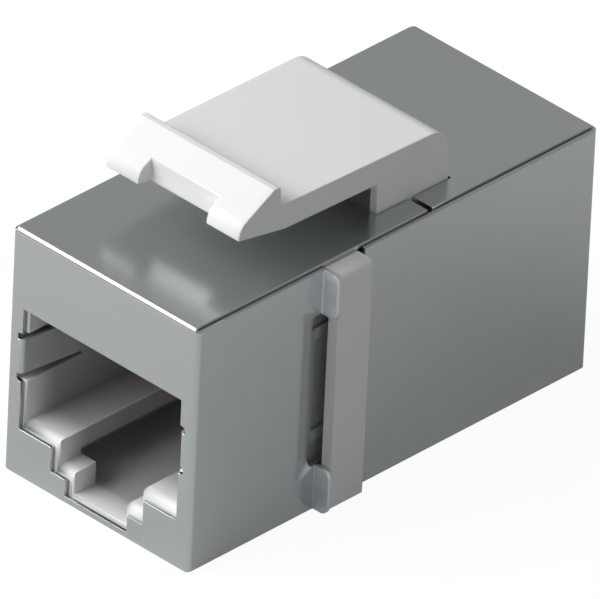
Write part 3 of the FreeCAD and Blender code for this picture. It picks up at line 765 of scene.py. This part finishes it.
def plated_sheet():
    """Satin nickel over steel: a faint rolled grain along the sheet in the gloss and bump, and slow drifts
    of tone. The grounding springs, rubbed by plugs, and the sunk tongues are dull. The tabs are scuffed
    rougher, and their colour is painted paler: a painted reflection that lifts them to the brightness of
    the flap beside them."""
    material, nodes, links, shader = node_tree("plated_steel")
    shader.inputs["Metallic"].default_value = 1.0
    dull_depth, dull_roughness, scuffed_roughness = 0.12, 0.6, 0.5
    place = add_node(nodes, "TexCoord")
    stretch = add_node(nodes, "Mapping", {"Scale": (5200, 500, 5200)})
    rolled = add_node(nodes, "TexNoise", {"Scale": 1, "Detail": 4})
    drift = add_node(nodes, "TexNoise", {"Scale": 130})
    tint = add_node(
        nodes, "Mix", {"A": (0.506, 0.535, 0.535, 1), "B": (0.529, 0.559, 0.559, 1)}, data_type="RGBA")
    gloss = add_node(nodes, "MapRange", {"To Min": 0.19, "To Max": 0.25})
    bump = add_node(nodes, "Bump", {"Strength": 0.015, "Distance": 0.00002})
    links.new(place.outputs["Object"], stretch.inputs["Vector"])
    links.new(stretch.outputs["Vector"], rolled.inputs["Vector"])
    links.new(place.outputs["Object"], drift.inputs["Vector"])
    links.new(drift.outputs["Fac"], tint.inputs["Factor"])
    links.new(rolled.outputs["Fac"], gloss.inputs["Value"])
    links.new(rolled.outputs["Fac"], bump.inputs["Height"])
    links.new(bump.outputs["Normal"], shader.inputs["Normal"])

    def combined(operation, first, second):
        """The result of one operation on two values."""
        step = add_node(nodes, "Math", operation=operation)
        links.new(first, step.inputs[0])
        links.new(second, step.inputs[1])
        return step.outputs["Value"]

    def within(value, low, high):
        """1 where a place along an axis lies between low and high, in millimetres."""
        middle, reach = (low + high) / 2 * MM, (high - low) / 2 * MM
        test = add_node(nodes, "Math", {1: middle, 2: reach}, operation="COMPARE")
        links.new(value, test.inputs[0])
        return test.outputs["Value"]

    def mixed(factor, first, second, **settings):
        """The first value, or the second one where the factor is 1."""
        mix = add_node(nodes, "Mix", {"B": second}, **settings)
        links.new(factor, mix.inputs["Factor"])
        links.new(first, mix.inputs["A"])
        return mix.outputs["Result"]

    axes = add_node(nodes, "SeparateXYZ")
    off_middle = add_node(nodes, "Math", operation="ABSOLUTE")
    links.new(place.outputs["Object"], axes.inputs["Vector"])
    links.new(axes.outputs["X"], off_middle.inputs[0])
    across, along, height = off_middle.outputs["Value"], axes.outputs["Y"], axes.outputs["Z"]
    on_springs = combined(
        "MULTIPLY", within(across, 0, (mouth_half + slot_end) / 2),
        within(height, spring_low - slot_height / 2, spring_high + slot_height / 2))
    sunk = add_node(nodes, "MapRange", {
        "From Min": half_width * MM, "From Max": (half_width - dull_depth) * MM})
    links.new(across, sunk.inputs["Value"])
    on_tongues = combined(
        "MULTIPLY", within(across, mouth_half, half_width),
        within(along, dip_start - half_length, tongue_end - half_length))
    on_tongues = combined("MULTIPLY", on_tongues, within(height, dip_foot, shell_top - dip_foot))
    on_tongues = combined("MULTIPLY", on_tongues, sunk.outputs["Result"])
    # Painted reflection: the tabs are lifted to a paler colour so that they mirror as brightly as the flap
    # beside them.
    on_tabs = within(across, half_width + crease_radius, tab_edge + crease_radius)
    colour = mixed(on_tabs, tint.outputs["Result"], (0.67, 0.70, 0.73, 1), data_type="RGBA")
    roughness = mixed(
        combined("MAXIMUM", on_springs, on_tongues), gloss.outputs["Result"], dull_roughness)
    links.new(colour, shader.inputs["Base Color"])
    links.new(mixed(on_tabs, roughness, scuffed_roughness), shader.inputs["Roughness"])
    return material


steel = plated_sheet()
front_opening, rear_opening = foot_front - foot_gap + half_length, half_length - foot_rear - foot_gap
shells = (
    ("front", -1, front_top_flap, dip_start, front_opening, True),
    ("rear", 1, rear_top_flap, rear_side_flap, rear_opening, False))
for socket, facing, top_length, side_length, opening_start, has_tabs in shells:
    points, faces = sheet_of(shell_patches(top_length, side_length, opening_start, has_tabs))
    points = turned(points - (0, half_length, 0), facing)
    shell = new_piece(f"{socket}_shell", points, faces, "plated_steel", steel, f"{socket}_shield")
    normals, middles, areas = np.empty(len(faces) * 3), np.empty(len(faces) * 3), np.empty(len(faces))
    shell.data.polygons.foreach_get("normal", normals)
    shell.data.polygons.foreach_get("center", middles)
    shell.data.polygons.foreach_get("area", areas)
    on_wall = near(np.abs(middles[1::3]) / MM, half_length)
    if (normals[1::3] * areas)[on_wall].sum() * facing < 0:
        shell.data.flip_normals()
    wall_thickness = shell.modifiers.new("sheet", "SOLIDIFY")
    wall_thickness.thickness = sheet_thickness * MM
    wall_thickness.offset = -1
    wall_thickness.use_even_offset = True
    soften(shell, sheet_edge, 2, sharpest=50)
    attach(shell, "body")


# Floor and light
# A white table under a broad softbox at the front left, with a weak one at the right. An even pale room
# lies around it, which looks white to the camera.

def white_table():
    """Matt white. To the camera it is lifted to white and keeps a faint shadow; the metal sees part of
    that, and less of its light is thrown on to matt surfaces."""
    material, nodes, links, shader = node_tree("white_table")
    nodes.remove(shader)
    ray = add_node(nodes, "LightPath")
    mirrored = add_node(nodes, "Math", operation="ADD")
    lifted = add_node(nodes, "Math", {1: 0.17}, operation="MULTIPLY_ADD")
    thrown = add_node(nodes, "MapRange", {"To Min": 0.64, "To Max": 0.35})
    tone = add_node(nodes, "Mix", {"B": (0.12, 0.12, 0.12, 1)}, data_type="RGBA")
    surface = add_node(nodes, "BsdfDiffuse")
    lift = add_node(nodes, "Math", {1: 0.935}, operation="MULTIPLY")
    glow = add_node(nodes, "Emission")
    both = add_node(nodes, "AddShader")
    links.new(ray.outputs["Is Glossy Ray"], mirrored.inputs[0])
    links.new(ray.outputs["Is Transmission Ray"], mirrored.inputs[1])
    links.new(mirrored.outputs["Value"], lifted.inputs[0])
    links.new(ray.outputs["Is Camera Ray"], lifted.inputs[2])
    links.new(ray.outputs["Is Diffuse Ray"], thrown.inputs["Value"])
    links.new(thrown.outputs["Result"], tone.inputs["A"])
    links.new(lifted.outputs["Value"], tone.inputs["Factor"])
    links.new(tone.outputs["Result"], surface.inputs["Color"])
    links.new(lifted.outputs["Value"], lift.inputs[0])
    links.new(lift.outputs["Value"], glow.inputs["Strength"])
    links.new(surface.outputs["BSDF"], both.inputs[0])
    links.new(glow.outputs["Emission"], both.inputs[1])
    links.new(both.outputs["Shader"], nodes["Material Output"].inputs["Surface"])
    return material


table_reach, table_level = 2.0, -0.00002
table_mesh = bpy.data.meshes.new("table")
table_mesh.from_pydata(
    [(-table_reach, -table_reach, table_level), (table_reach, -table_reach, table_level),
     (table_reach, table_reach, table_level), (-table_reach, table_reach, table_level)], [], [(0, 1, 2, 3)])
table_mesh.materials.append(white_table())
table = bpy.data.objects.new("table", table_mesh)
bpy.context.scene.collection.objects.link(table)


def softbox(name, direction, distance, width, height, radiance):
    """A lamp that faces the part. Its power is its radiance times pi times its area."""
    lamp = bpy.data.lights.new(name, "AREA")
    lamp.shape = "RECTANGLE"
    lamp.size, lamp.size_y = width, height
    lamp.energy = radiance * math.pi * width * height
    holder = bpy.data.objects.new(name, lamp)
    holder.location = Vector(direction).normalized() * distance
    holder.rotation_mode = "QUATERNION"
    holder.rotation_quaternion = Vector(direction).to_track_quat("Z", "Y")
    bpy.context.scene.collection.objects.link(holder)


softbox("key_softbox", (-0.57, -0.54, 0.62), distance=0.25, width=0.36, height=0.13, radiance=5.7)
softbox("side_softbox", (0.85, -0.1, 0.5), distance=0.3, width=0.3, height=0.3, radiance=0.4)

world = bpy.data.worlds.new("room")
world.use_nodes = True
bpy.context.scene.world = world
room_nodes, room_links = world.node_tree.nodes, world.node_tree.links
room = room_nodes["Background"]
room.inputs["Color"].default_value = (1, 1, 1, 1)
ray = add_node(room_nodes, "LightPath")
level = add_node(room_nodes, "MapRange", {"To Min": 0.43, "To Max": 0.20})
seen = add_node(room_nodes, "Math", operation="MAXIMUM")
room_links.new(ray.outputs["Is Diffuse Ray"], level.inputs["Value"])
room_links.new(level.outputs["Result"], seen.inputs[0])
room_links.new(ray.outputs["Is Camera Ray"], seen.inputs[1])
room_links.new(seen.outputs["Value"], room.inputs["Strength"])
bpy.context.scene.view_settings.view_transform = "Standard"


# Camera
# A long lens from the front right and above, rolled a little, as the part is pictured. Its angles, aim
# and distance were fitted to the straight edges of the shells.

azimuth, elevation, roll = (math.radians(angle) for angle in (43.2465, 32.7925, 2.7464))
aim = Vector((0.0057, -0.0811, 7.9772)) * MM
camera_distance, focal_length = 1484.71 * MM, 1600
back = Vector((
    math.sin(azimuth) * math.cos(elevation), -math.cos(azimuth) * math.cos(elevation), math.sin(elevation)))
level_right = Vector((math.cos(azimuth), math.sin(azimuth), 0))
level_up = back.cross(level_right)
right = level_right * math.cos(roll) + level_up * math.sin(roll)
up = back.cross(right)
lens = bpy.data.cameras.new("camera")
lens.lens = focal_length
lens.clip_start, lens.clip_end = 0.1, 10
camera = bpy.data.objects.new("camera", lens)
bpy.context.scene.collection.objects.link(camera)
facing_part = Matrix((right, up, back)).transposed().to_4x4()
camera.matrix_world = Matrix.Translation(aim + back * camera_distance) @ facing_part
bpy.context.scene.camera = camera
